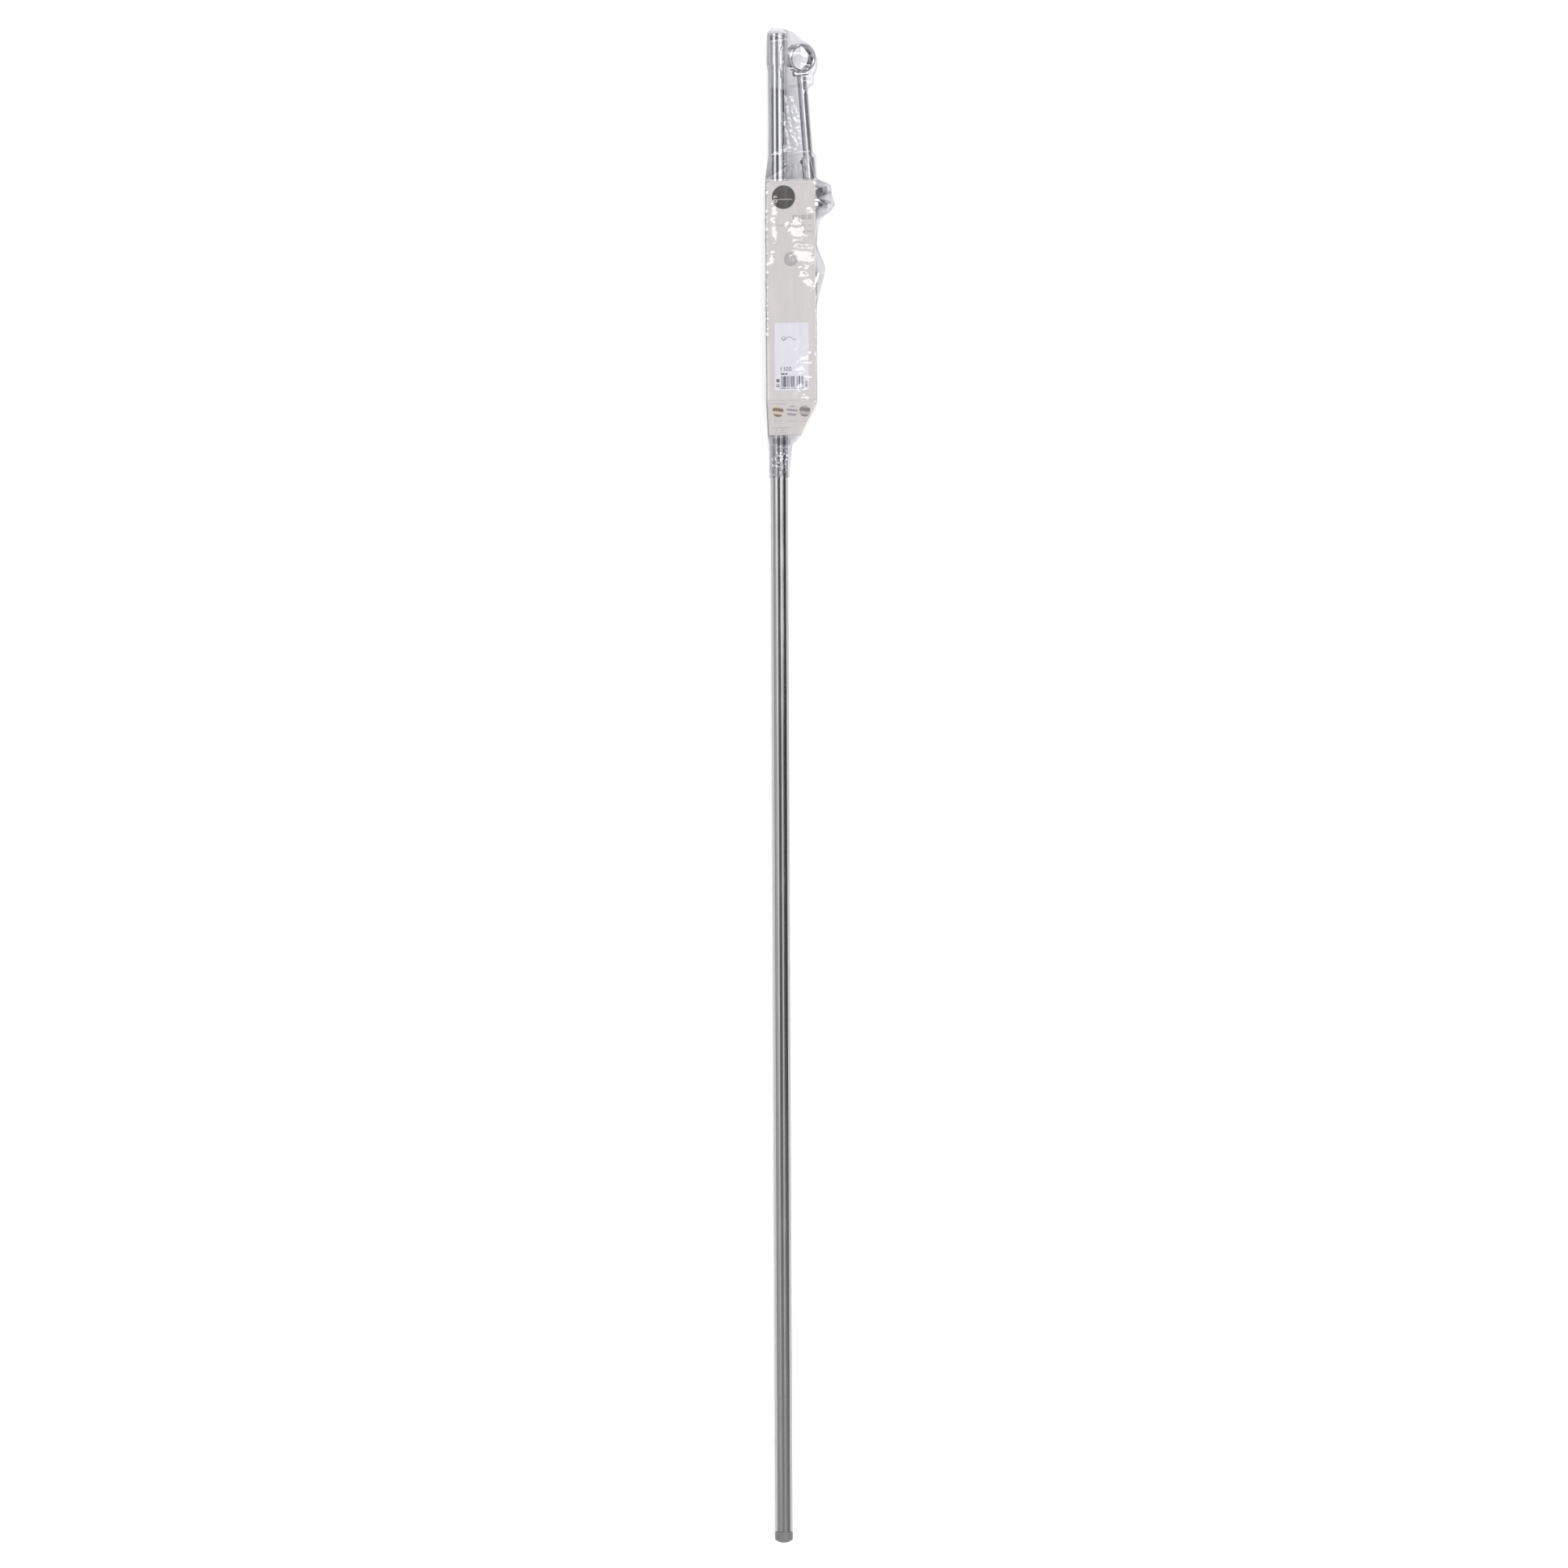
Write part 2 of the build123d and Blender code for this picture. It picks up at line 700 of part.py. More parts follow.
ring_sweep_r = sqrt(ring_r**2 + ring_half_width**2) + 0.7
lug_sweep_r = 12.8
pole = (0.0, pole_z, tube_r + 0.1)
cap = (0.0, pole_z, cap_r)
fixings = [
    (screw_left, fixing_floor + head_r, head_r),
    (screw_left + 3 * screw_pitch, fixing_floor + head_r, head_r),
    (plug_places[2][0], plug_row_z, plug_r + 0.4),
]
corner_tip = corner_plane.from_local_coords(Vector(corner_along, corner_out, 0))
corner_tip_s = pole_top_y - corner_tip.Y
corner_tip_circle = (corner_tip.X - pole_x, corner_tip.Z, 1.0)
film_stations = [
    (-crown_height + 0.4, [(0.0, pole_z, 4.6)]),
    (-0.9, [(0.0, pole_z, 10.6), (14.5, pole_z + 10.0, 2.0)]),
    (9.4, [cap, arm_circle("a", 9.4, 5.5)]),
    (12.0, [cap, arm_circle("a", 12.0, 10.0)]),
    (16.0, [cap, ring_circle("a", 16.0)]),
    (21.0, [cap, ring_circle("a", 21.0)]),
    (27.0, [cap, ring_circle("a", 27.0)]),
    (35.0, [cap, ring_circle("a", 35.0)]),
    (41.0, [pole, ring_circle("a", 41.0)]),
    (46.0, [pole, ring_circle("a", 46.0)]),
    (54.0, [pole, ring_circle("a", 54.0)]),
    (60.0, [pole, arm_circle("a", 60.0, arm_r + 0.3)]),
    (128.0, [pole, arm_circle("a", 128.0, arm_r + 0.3)]),
    (131.0, [pole, arm_circle("a", 131.0, socket_r + 1.9)]),
    (156.5, [pole, arm_circle("a", 156.5, socket_r + 0.8), *card_edges(card_start)]),
    (161.5, [pole, arm_circle("a", 161.5, plate_r), *card_edges(161.5)]),
    (176.0, [pole, (34.9, wall_z + 0.4, plate_r + 0.5), *card_edges(176.0)]),
    (184.0, [pole, (37.2, wall_z + 1.5, plate_r + 1.5), *card_edges(184.0)]),
    (190.5, [pole, arm_circle("b", 190.5, plate_r), *card_edges(190.5)]),
    (200.0, [pole, arm_circle("b", 200.0, socket_r + 4.0), *card_edges(200.0)]),
    (226.0, [pole, arm_circle("b", 226.0, socket_r + 1.0), *card_edges(226.0)]),
    (251.0, [pole, (39.0, pole_z, cap_r), *card_edges(251.0)]),
    (258.5, [pole, (37.6, pole_z, cap_r), *card_edges(258.5)]),
    (291.5, [pole, (28.0, pole_z, cap_r), *card_edges(291.5)]),
    (297.5, [pole, ring_circle("b", 297.5), *card_edges(297.5)]),
    (306.5, [pole, ring_circle("b", 306.5), *card_edges(306.5)]),
    (313.0, [pole, ring_circle("b", 313.0), *card_edges(313.0)]),
    (325.0, [pole, ring_circle("b", 325.0), *card_edges(325.0)]),
    (331.5, [pole, ring_circle("b", 331.5), *card_edges(331.5)]),
    (338.0, [pole, ring_circle("b", 338.0), *card_edges(338.0)]),
    (343.5, [pole, *fixings, *card_edges(343.5)]),
    (394.0, [pole, *fixings, *card_edges(394.0)]),
    (396.5, [pole, *fixings, *card_edges(396.5)]),
    (412.0, [pole, *card_edges(412.0)]),
    (corner_tip_s, [pole, corner_tip_circle, *card_edges(corner_tip_s)]),
    (424.0, [pole, *card_edges(424.0)]),
    (431.5, [pole, *card_edges(431.5)]),
    (440.0, [pole, (9.0, pole_z + 2.0, 4.0)]),
    (476.0, [pole, (7.0, pole_z + 1.0, 3.0)]),
]


def hull_outline(circles, grow):
    """Points round the tight wrap of a set of circles, one for each of a set of directions."""
    points = []
    for step in range(hull_sides):
        angle = 2 * pi * step / hull_sides
        x, z, r = max(circles, key=lambda c: c[0] * cos(angle) + c[1] * sin(angle) + c[2])
        points.append((x + (r + grow) * cos(angle), z + (r + grow) * sin(angle)))
    return points


def film_loft(stations, grow, mode):
    sections = []
    for s, circles in stations:
        with BuildSketch(plane_at(spot(0, s, 0), (0, -1, 0))) as section:
            Polygon(*hull_outline(circles, grow), align=None)
        sections.append(section.sketch.faces()[0])
    loft(sections, ruled=True, mode=mode)


with BuildPart() as film_wrap:
    film_loft(film_stations, film_gap + film_wall, Mode.ADD)
    first_s, first_circles = film_stations[0]
    last_s, last_circles = film_stations[-1]
    room = [(first_s + film_wall, first_circles), *film_stations[1:-1], (last_s + 1.0, last_circles)]
    film_loft(room, film_gap, Mode.SUBTRACT)
save("film_wrap", film_wrap.part)
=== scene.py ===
import json
from math import ceil, cos, hypot, pi, radians, sin, sqrt, tan

import bpy
import numpy as np
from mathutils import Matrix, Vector, noise


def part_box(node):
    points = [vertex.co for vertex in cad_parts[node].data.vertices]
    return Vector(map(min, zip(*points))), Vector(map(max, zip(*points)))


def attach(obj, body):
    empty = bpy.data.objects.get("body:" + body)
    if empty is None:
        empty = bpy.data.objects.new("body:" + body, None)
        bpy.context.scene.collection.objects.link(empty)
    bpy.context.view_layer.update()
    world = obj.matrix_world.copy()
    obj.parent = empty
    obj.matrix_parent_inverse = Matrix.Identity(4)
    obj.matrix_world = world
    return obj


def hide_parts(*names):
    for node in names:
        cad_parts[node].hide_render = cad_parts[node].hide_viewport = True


# A telescopic curtain pole kit in a clear film bag, seen from straight above.
# Everything is in metres in the frame of the CAD model. Places on the pack are given as
# s, the distance down the pole from the end cap's top, and dx, the distance right of its axis.

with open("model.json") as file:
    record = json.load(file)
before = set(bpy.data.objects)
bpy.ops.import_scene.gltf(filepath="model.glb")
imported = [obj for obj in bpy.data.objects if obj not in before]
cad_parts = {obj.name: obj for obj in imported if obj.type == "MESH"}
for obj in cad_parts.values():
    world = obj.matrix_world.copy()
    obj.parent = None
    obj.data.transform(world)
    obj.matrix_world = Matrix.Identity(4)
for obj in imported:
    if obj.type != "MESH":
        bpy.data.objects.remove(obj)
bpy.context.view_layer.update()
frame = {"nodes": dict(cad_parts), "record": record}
mm = 0.001

# ---- places taken from the frame ----
tube_low, tube_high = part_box("outer_tube")
card_low, card_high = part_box("header_card")
film_low, film_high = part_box("film_wrap")
pole_x = (tube_low[0] + tube_high[0]) / 2
pole_z = (tube_low[2] + tube_high[2]) / 2
pole_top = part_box("top_end_cap")[1][1]


# ---- node helpers ----
class Tree:
    """Short ways to add nodes to one node tree."""

    def __init__(self, tree):
        self.tree = tree
        self.tree.nodes.clear()

    def add(self, kind, **settings):
        node = self.tree.nodes.new(kind)
        for name, value in settings.items():
            setattr(node, name, value)
        return node

    def set(self, socket, value):
        if isinstance(value, bpy.types.NodeSocket):
            self.tree.links.new(value, socket)
        else:
            socket.default_value = value

    def math(self, operation, *values, clamp=False):
        node = self.add("ShaderNodeMath", operation=operation, use_clamp=clamp)
        for socket, value in zip(node.inputs, values):
            self.set(socket, value)
        return node.outputs[0]

    def smooth(self, value, low, high, start=0.0, end=1.0):
        """Smooth change from start to end as value goes from low to high."""
        node = self.add("ShaderNodeMapRange", interpolation_type="SMOOTHSTEP")
        limits = {"From Min": low, "From Max": high, "To Min": start, "To Max": end}
        for name, setting in {"Value": value, **limits}.items():
            self.set(node.inputs[name], setting)
        return node.outputs[0]

    def mix(self, factor, a, b):
        """Colour a where the factor is 0 and b where it is 1."""
        node = self.add("ShaderNodeMix", data_type="RGBA")
        self.set(node.inputs["Factor"], factor)
        for name, value in (("A", a), ("B", b)):
            socket = [i for i in node.inputs if i.name == name and i.type == "RGBA"][0]
            if isinstance(value, (int, float)):
                value = (value, value, value, 1)
            elif isinstance(value, tuple) and len(value) == 3:
                value = (*value, 1)
            self.set(socket, value)
        return [o for o in node.outputs if o.type == "RGBA"][0]

    def noise(self, coords, scale, detail=2.0, roughness=0.5, stretch=(1, 1, 1)):
        mapping = self.add("ShaderNodeMapping")
        mapping.inputs["Scale"].default_value = stretch
        self.set(mapping.inputs["Vector"], coords)
        node = self.add("ShaderNodeTexNoise")
        self.set(node.inputs["Vector"], mapping.outputs[0])
        node.inputs["Scale"].default_value = scale
        node.inputs["Detail"].default_value = detail
        node.inputs["Roughness"].default_value = roughness
        return node.outputs["Fac"]

    def place(self):
        """The piece's own coordinates, which stay with it when it moves."""
        return self.add("ShaderNodeTexCoord").outputs["Object"]

    def bump(self, height, strength, distance):
        node = self.add("ShaderNodeBump")
        node.inputs["Strength"].default_value = strength
        node.inputs["Distance"].default_value = distance
        self.set(node.inputs["Height"], height)
        return node.outputs[0]

    def principled(self, **values):
        node = self.add("ShaderNodeBsdfPrincipled")
        for name, value in values.items():
            socket = node.inputs[name.replace("_", " ")]
            if isinstance(value, tuple) and len(value) == 3:
                value = (*value, 1)
            self.set(socket, value)
        return node.outputs[0]

    def finish(self, shader):
        out = self.add("ShaderNodeOutputMaterial")
        self.set(out.inputs["Surface"], shader)


def new_material(name):
    material = bpy.data.materials.new(name)
    material.use_nodes = True
    return material, Tree(material.node_tree)


# ---- materials of the metal and plastic parts ----
def metal(name, colour, rough, along=(1, 1, 1), line_scale=900.0, line_depth=0.25):
    """Polished metal with fine draw lines, faint smears and small specks, and painted shade that darkens
    its colour towards its sides as seen.
    """
    material, t = new_material(name)
    place = t.place()
    lines = t.noise(place, line_scale, 3.0, 0.6, along)
    smear = t.noise(place, 22.0, 4.0, 0.55, (1.0, 0.35, 1.0))
    specks = t.noise(place, 1400.0, 1.0, 0.5)
    speck = t.smooth(specks, 0.72, 0.8)
    shade = t.smooth(smear, 0.3, 0.75, 1.0, 0.93)
    shade = t.math("MULTIPLY", shade, t.smooth(lines, 0.3, 0.7, 0.975, 1.0))
    shade = t.math("MULTIPLY", shade, t.smooth(speck, 0.0, 1.0, 1.0, 0.85))
    # Painted shade: the colour darkens towards the sides that turn away from the view, standing in for
    # the dark surroundings mirrored there.
    sides = t.add("ShaderNodeLayerWeight")
    sides.inputs["Blend"].default_value = 0.5
    shade = t.math("MULTIPLY", shade, t.smooth(sides.outputs["Facing"], 0.17, 0.36, 1.0, 0.42))
    tone = t.mix(shade, (0.0, 0.0, 0.0), colour)
    roughness = t.smooth(smear, 0.35, 0.8, rough, rough + 0.06)
    roughness = t.math("ADD", roughness, t.math("MULTIPLY", speck, 0.15))
    bump = t.bump(lines, line_depth, 0.00001)
    t.finish(t.principled(Base_Color=tone, Metallic=1.0, Roughness=roughness, Normal=bump))
    return material


def plastic(name, colour, rough, grain=2500.0):
    """Moulded plastic with a fine grain and slightly uneven colour."""
    material, t = new_material(name)
    place = t.place()
    fine = t.noise(place, grain, 2.0)
    cloud = t.noise(place, 60.0, 3.0)
    tone = t.mix(t.smooth(cloud, 0.3, 0.7), tuple(c * 0.93 for c in colour), colour)
    roughness = t.smooth(cloud, 0.3, 0.7, rough, rough + 0.08)
    bump = t.bump(fine, 0.25, 0.00003)
    t.finish(t.principled(Base_Color=tone, Roughness=roughness, Normal=bump))
    return material


along_pole = (1.0, 0.012, 1.0)
materials = {
    "chromed_tube": metal("tube_chrome", (0.74, 0.74, 0.745), 0.06, along_pole),
    "chromed_fittings": metal("fitting_chrome", (0.78, 0.78, 0.785), 0.07, (1, 0.2, 1)),
    "inner_tube_steel": metal("drawn_steel", (0.6, 0.6, 0.61), 0.22, along_pole),
    "zinc_screws": metal("zinc_plate", (0.62, 0.61, 0.56), 0.28, (1, 1, 1), 1500.0),
    "black_screws": metal("blackened_steel", (0.11, 0.11, 0.115), 0.3, (1, 1, 1), 1500.0),
    "grey_plastic": plastic("grey_plastic", (0.092, 0.092, 0.095), 0.42),
    "white_plastic": plastic("white_nylon", (0.78, 0.78, 0.76), 0.45),
}
slots = {p["node"]: p["material_slot"] for p in frame["record"]["subparts"]}
for name, node in frame["nodes"].items():
    if slots[name] in materials:
        for material_slot in node.material_slots:
            material_slot.material = materials[slots[name]]


# ---- card: places on it from its own CAD mesh ----
def mesh_points(node):
    return [v.co.copy() for v in frame["nodes"][node].data.vertices]


card_points = mesh_points("header_card")
top_edge = [p for p in card_points if p.y > card_high[1] - 1 * mm]
card_origin = max((p for p in top_edge if p.x < card_low[0] + 1 * mm), key=lambda p: p.z)
card_corner = max((p for p in top_edge if p.x > card_low[0] + 40 * mm), key=lambda p: p.z)
across = (card_corner - card_origin).normalized()
card_width = (card_corner - card_origin).length
left_edge = sorted(
    (p for p in card_points if (p - card_origin).dot(across) < 0.6 * mm), key=lambda p: -p.y
)
card_end = max((p for p in left_edge if p.y < left_edge[-1].y + 0.3 * mm), key=lambda p: p.z)
crease = max(
    (p for p in left_edge if left_edge[-1].y + 5 * mm < p.y < left_edge[0].y - 5 * mm),
    key=lambda p: p.z,
)
down = (crease - card_origin).normalized()
outward = across.cross(down) * -1
card_run = (crease - card_origin).length
flap = card_end - crease
flap -= across * flap.dot(across)
flap_down = flap.normalized()
flap_out = across.cross(flap_down) * -1
flap_run = flap.length

# The lower right corner is turned back along a slanted line across the flap.
corner_start = 2.0 * mm
corner_width = 21.0 * mm
corner_bend = 3.5 * mm
corner_turn = radians(96)
slant_start = Vector((card_width, corner_start))
slant_end = Vector((card_width - corner_width, flap_run))
slant = (slant_end - slant_start).normalized()
slant_out = Vector((-slant.y, slant.x)) * -1
card_bow = 0.5 * mm


def on_card(u, v, lift=0.0):
    """A place in the frame from distances across and down the flat card, lifted off its front."""
    bow = card_bow * sin(pi * u / card_width) * sin(pi * min(v / card_run, 1.0)) ** 2
    if v <= card_run:
        return card_origin + across * u + down * v + outward * (lift - bow)
    place = Vector((u, v - card_run))
    past = (place - slant_start).dot(slant_out)
    if past <= 0:
        return crease + across * u + flap_down * place.y + flap_out * lift
    foot = place - slant_out * past
    turned = min(past / corner_bend, corner_turn)
    straight = max(0.0, past - corner_turn * corner_bend)
    out = corner_bend * sin(turned) + straight * cos(corner_turn)
    drop = corner_bend * (1 - cos(turned)) + straight * sin(corner_turn)
    flat = foot + slant_out * (out + lift * sin(turned))
    return crease + across * flat.x + flap_down * flat.y + flap_out * (lift * cos(turned) - drop)


# One unit of the UV map is this many millimetres on the flat card.
uv_millimetres = 100.0


def add_mesh(name, points, faces, material_list, body="root"):
    mesh = bpy.data.meshes.new(name)
    mesh.from_pydata([tuple(p) for p in points], [], faces)
    for material in material_list:
        mesh.materials.append(material)
    mesh.validate()
    piece = bpy.data.objects.new(name, mesh)
    bpy.context.scene.collection.objects.link(piece)
    for polygon in mesh.polygons:
        polygon.use_smooth = True
    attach(piece, body)
    return piece


def corner_inset(edge, radius):
    """How far a rounded corner draws the side in, at a distance from the sheet's end."""
    if edge >= radius:
        return 0.0
    return radius - sqrt(max(radius**2 - (radius - edge) ** 2, 0.0))


def card_sheet(name, left, right, top, bottom, radii, step, lift, thickness, material_list):
    """A sheet that lies on the card, with its flat places in a UV map. The radii of its
    corners are those at the top left, the bottom left, the top right and the bottom right."""
    columns = max(2, ceil((right - left) / step))
    rows = max(2, ceil((bottom - top) / step))
    points, flats, faces = [], [], []
    for row in range(rows + 1):
        v = top + (bottom - top) * row / rows
        left_inset = max(corner_inset(v - top, radii[0]), corner_inset(bottom - v, radii[1]))
        right_inset = max(corner_inset(v - top, radii[2]), corner_inset(bottom - v, radii[3]))
        for column in range(columns + 1):
            u = left + left_inset + (right - left - left_inset - right_inset) * column / columns
            points.append(on_card(u, v, lift))
            flats.append((u / mm / uv_millimetres, v / mm / uv_millimetres))
    for row in range(rows):
        for column in range(columns):
            a = row * (columns + 1) + column
            faces.append((a, a + columns + 1, a + columns + 2, a + 1))
    piece = add_mesh(name, points, faces, material_list)
    layer = piece.data.uv_layers.new(name="print")
    for loop in piece.data.loops:
        layer.data[loop.index].uv = flats[loop.vertex_index]
    solid = piece.modifiers.new("thickness", "SOLIDIFY")
    solid.thickness = thickness
    solid.offset = -1.0
    solid.material_offset = 1
    solid.material_offset_rim = 1
    return piece


class Print:
    """Printed marks placed in millimetres across and down the flat card."""

    edge = 0.07

    def __init__(self, t, colour):
        self.t = t
        self.colour = colour
        flat = t.add("ShaderNodeSeparateXYZ")
        uv = t.add("ShaderNodeUVMap", uv_map="print")
        t.set(flat.inputs[0], uv.outputs[0])
        self.u = t.math("MULTIPLY", flat.outputs[0], uv_millimetres)
        self.v = t.math("MULTIPLY", flat.outputs[1], uv_millimetres)

    def ink(self, mask, colour, cover=1.0):
        if cover < 1:
            mask = self.t.math("MULTIPLY", mask, cover)
        self.colour = self.t.mix(mask, self.colour, colour)

    def within(self, depth):
        return self.t.smooth(depth, -self.edge, self.edge, 1.0, 0.0)

    def centred(self, u, v):
        return self.t.math("SUBTRACT", self.u, u), self.t.math("SUBTRACT", self.v, v)

    def box(self, left, right, top, bottom):
        t = self.t
        x, y = self.centred((left + right) / 2, (top + bottom) / 2)
        x = t.math("SUBTRACT", t.math("ABSOLUTE", x), (right - left) / 2)
        y = t.math("SUBTRACT", t.math("ABSOLUTE", y), (bottom - top) / 2)
        return self.within(t.math("MAXIMUM", x, y))

    def disc(self, u, v, radius, squeeze=1.0):
        t = self.t
        x, y = self.centred(u, v)
        y = t.math("MULTIPLY", y, squeeze)
        reach = t.math("SQRT", t.math("ADD", t.math("MULTIPLY", x, x), t.math("MULTIPLY", y, y)))
        return self.within(t.math("SUBTRACT", reach, radius))

    def ring(self, u, v, radius, line, squeeze=1.0):
        outer = self.disc(u, v, radius, squeeze)
        inner = self.disc(u, v, radius - line, squeeze)
        return self.t.math("SUBTRACT", outer, inner)

    def marks(self, left, right, top, bottom, pitch, share, seed, upright=False):
        """A line of words stood for by short strokes with gaps, with no letters in it."""
        t = self.t
        along = self.v if upright else self.u
        cell = t.math("FLOOR", t.math("DIVIDE", along, pitch))
        picked = t.add("ShaderNodeTexWhiteNoise", noise_dimensions="1D")
        t.set(picked.inputs["W"], t.math("ADD", cell, seed))
        shown = t.math("LESS_THAN", picked.outputs["Value"], share)
        return t.math("MULTIPLY", self.box(left, right, top, bottom), shown)


def board_base(t, colour, fibre=900.0):
    """Paper colour with fibres and a slow mottle."""
    place = t.place()
    fine = t.noise(place, fibre, 3.0, 0.6, (1, 0.35, 1))
    cloud = t.noise(place, 35.0, 2.0)
    tone = t.mix(t.smooth(fine, 0.3, 0.7), tuple(c * 0.985 for c in colour), colour)
    tone = t.mix(t.smooth(cloud, 0.3, 0.75), tone, tuple(c * 0.96 for c in colour))
    return tone, t.bump(fine, 0.2, 0.00002)


card_colour = (0.57, 0.537, 0.514)
dark_ink = (0.022, 0.018, 0.016)
grey_ink = (0.33, 0.32, 0.31)
pale_ink = (0.42, 0.405, 0.39)

board_material, t = new_material("plain_board")
tone, bump = board_base(t, (0.575, 0.554, 0.522))
t.finish(t.principled(Base_Color=tone, Roughness=0.75, Normal=bump))

card_material, t = new_material("printed_board")
tone, bump = board_base(t, card_colour)
p = Print(t, tone)
crease_v = card_run / mm
p.ink(p.disc(18.8, 17.4, 12.7), dark_ink)
p.ink(p.box(9.5, 28.0, 19.2, 20.3), (0.3, 0.27, 0.22))
p.ink(p.marks(28.5, 49.7, 36.5, 41.5, 1.45, 0.6, 7), grey_ink, 0.8)
p.ink(p.marks(11.0, 49.0, 46.5, 49.0, 0.8, 0.62, 21), pale_ink)
p.ink(p.marks(27.0, 49.5, 53.0, 55.4, 0.8, 0.62, 40), pale_ink)
p.ink(p.disc(26.4, 83.7, 7.6), (0.35, 0.34, 0.33))
# A diameter sign and the number 19, made of rings and bars.
pale_mark = (0.56, 0.545, 0.53)
p.ink(p.ring(22.3, 85.0, 1.15, 0.35), pale_mark)
p.ink(p.box(25.0, 26.0, 81.3, 86.3), pale_mark)
p.ink(p.box(24.2, 26.0, 81.9, 82.6), pale_mark)
p.ink(p.ring(29.2, 82.9, 1.75, 0.8), pale_mark)
p.ink(p.box(30.1, 30.95, 82.9, 84.9), pale_mark)
p.ink(p.box(28.0, 30.5, 85.4, 86.3), pale_mark)
# Three round swatches with wavy stripes, each with its place, its three tones and its waves.
for swatch in (
    (11.1, (0.15, 0.095, 0.05), (0.6, 0.54, 0.42), (0.29, 0.225, 0.12), 0.9),
    (26.4, (0.27, 0.23, 0.23), (0.6, 0.575, 0.58), (0.4, 0.365, 0.365), 1.3),
    (40.4, (0.15, 0.12, 0.115), (0.4, 0.375, 0.37), (0.28, 0.25, 0.245), 0.8),
):
    middle, deep, bright, body, waves = swatch
    x, y = p.centred(middle, crease_v + 12.0)
    slope = t.math("ADD", y, t.math("MULTIPLY", x, -0.12))
    wave = t.math("SINE", t.math("MULTIPLY", slope, waves))
    fine_wave = t.math("SINE", t.math("MULTIPLY", slope, waves * 3.1))
    level = t.math("ADD", wave, t.math("MULTIPLY", fine_wave, 0.35))
    stripe = t.mix(t.smooth(level, -1.0, 0.1), deep, body)
    stripe = t.mix(t.smooth(level, 0.1, 1.0), stripe, bright)
    p.ink(p.disc(middle, crease_v + 12.0, 6.1), stripe)
p.ink(p.marks(3.2, 21.0, crease_v + 3.4, crease_v + 4.6, 0.5, 0.6, 3), grey_ink, 0.7)
for left, right in ((6.5, 15.8), (21.5, 33.5), (38.0, 43.0)):
    for line in (20.6, 22.8):
        p.ink(
            p.marks(left, right, crease_v + line, crease_v + line + 1.1, 0.45, 0.6, left),
            grey_ink,
            0.6,
        )
for line, right in ((29.2, 24.0), (31.9, 19.5), (34.6, 22.5)):
    p.ink(p.marks(3.2, right, crease_v + line, crease_v + line + 1.3, 0.5, 0.6, right), grey_ink, 0.7)
# A thin dark line along the crease: painted shade in the fold.
p.ink(p.box(0.0, 60.0, crease_v - 0.15, crease_v + 0.15), (0.36, 0.35, 0.34), 0.8)
t.finish(t.principled(Base_Color=p.colour, Roughness=0.5, Normal=bump))

card = card_sheet(
    "printed_card",
    0.0,
    card_width,
    0.0,
    card_run + flap_run,
    (4.0 * mm, 0.4 * mm, 1.0 * mm, 0.4 * mm),
    1.4 * mm,
    0.0,
    0.5 * mm,
    [card_material, board_material],
)
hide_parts("header_card")

# ---- label on the card ----
label_points = [place - card_origin for place in mesh_points("label_sticker")]
label_left = min(place.dot(across) for place in label_points)
label_right = max(place.dot(across) for place in label_points)
label_top = min(place.dot(down) for place in label_points)
label_bottom = max(place.dot(down) for place in label_points)
label_material, t = new_material("label_paper")
tone, bump = board_base(t, (0.668, 0.658, 0.685), 1600.0)
p = Print(t, tone)
u0, v0 = label_left / mm, label_top / mm
ink = (0.1, 0.09, 0.12)
soft_ink = (0.1, 0.09, 0.11)
# A flourish in place of writing.
flourish = t.math("SINE", t.math("MULTIPLY", t.math("SUBTRACT", p.u, u0 + 8.0), 0.55))
height = t.math("ADD", t.math("MULTIPLY", flourish, 1.6), v0 + 17.0)
near = t.math("SUBTRACT", t.math("ABSOLUTE", t.math("SUBTRACT", p.v, height)), 0.28)
p.ink(t.math("MULTIPLY", p.within(near), p.box(u0 + 8.0, u0 + 24.0, v0, v0 + 40.0)), soft_ink)
p.ink(p.ring(u0 + 10.4, v0 + 17.2, 2.2, 0.5), soft_ink)
p.ink(p.box(u0 + 7.2, u0 + 8.0, v0 + 47.5, v0 + 52.0), soft_ink)
# The number 300, made of rings and arcs.
for number, digit in enumerate("300"):
    left = u0 + 9.6 + 3.3 * number
    if digit == "0":
        p.ink(p.ring(left + 1.2, v0 + 49.7, 1.4, 0.55, 0.6), soft_ink)
    else:
        for rise in (1.05, -1.05):
            arc = p.ring(left + 0.9, v0 + 49.7 + rise, 1.35, 0.55)
            p.ink(t.math("MULTIPLY", arc, p.box(left + 0.5, left + 3.0, v0 + 46, v0 + 54)), soft_ink)
p.ink(p.marks(u0 + 7.4, u0 + 14.5, v0 + 54.2, v0 + 56.0, 0.6, 0.7, 5), ink)
p.ink(p.marks(u0 + 7.6, u0 + 32.5, v0 + 57.5, v0 + 69.0, 0.42, 0.55, 77), ink)
p.ink(p.marks(u0 + 2.4, u0 + 5.8, v0 + 59.5, v0 + 69.0, 0.9, 0.68, 12, True), soft_ink)
p.ink(p.marks(u0 + 34.0, u0 + 36.0, v0 + 62.0, v0 + 69.0, 0.6, 0.7, 31, True), ink)
p.ink(p.marks(u0 + 6.0, u0 + 32.0, v0 + 69.8, v0 + 70.9, 0.55, 0.5, 90), soft_ink)
t.finish(t.principled(Base_Color=p.colour, Roughness=0.42, Normal=bump))
edge_material, t = new_material("label_edge")
tone, bump = board_base(t, (0.773, 0.773, 0.794))
t.finish(t.principled(Base_Color=tone, Roughness=0.6, Normal=bump))
label = card_sheet(
    "label",
    label_left,
    label_right,
    label_top,
    label_bottom,
    (1.6 * mm,) * 4,
    1.0 * mm,
    0.14 * mm,
    0.1 * mm,
    [label_material, edge_material],
)
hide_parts("label_sticker")

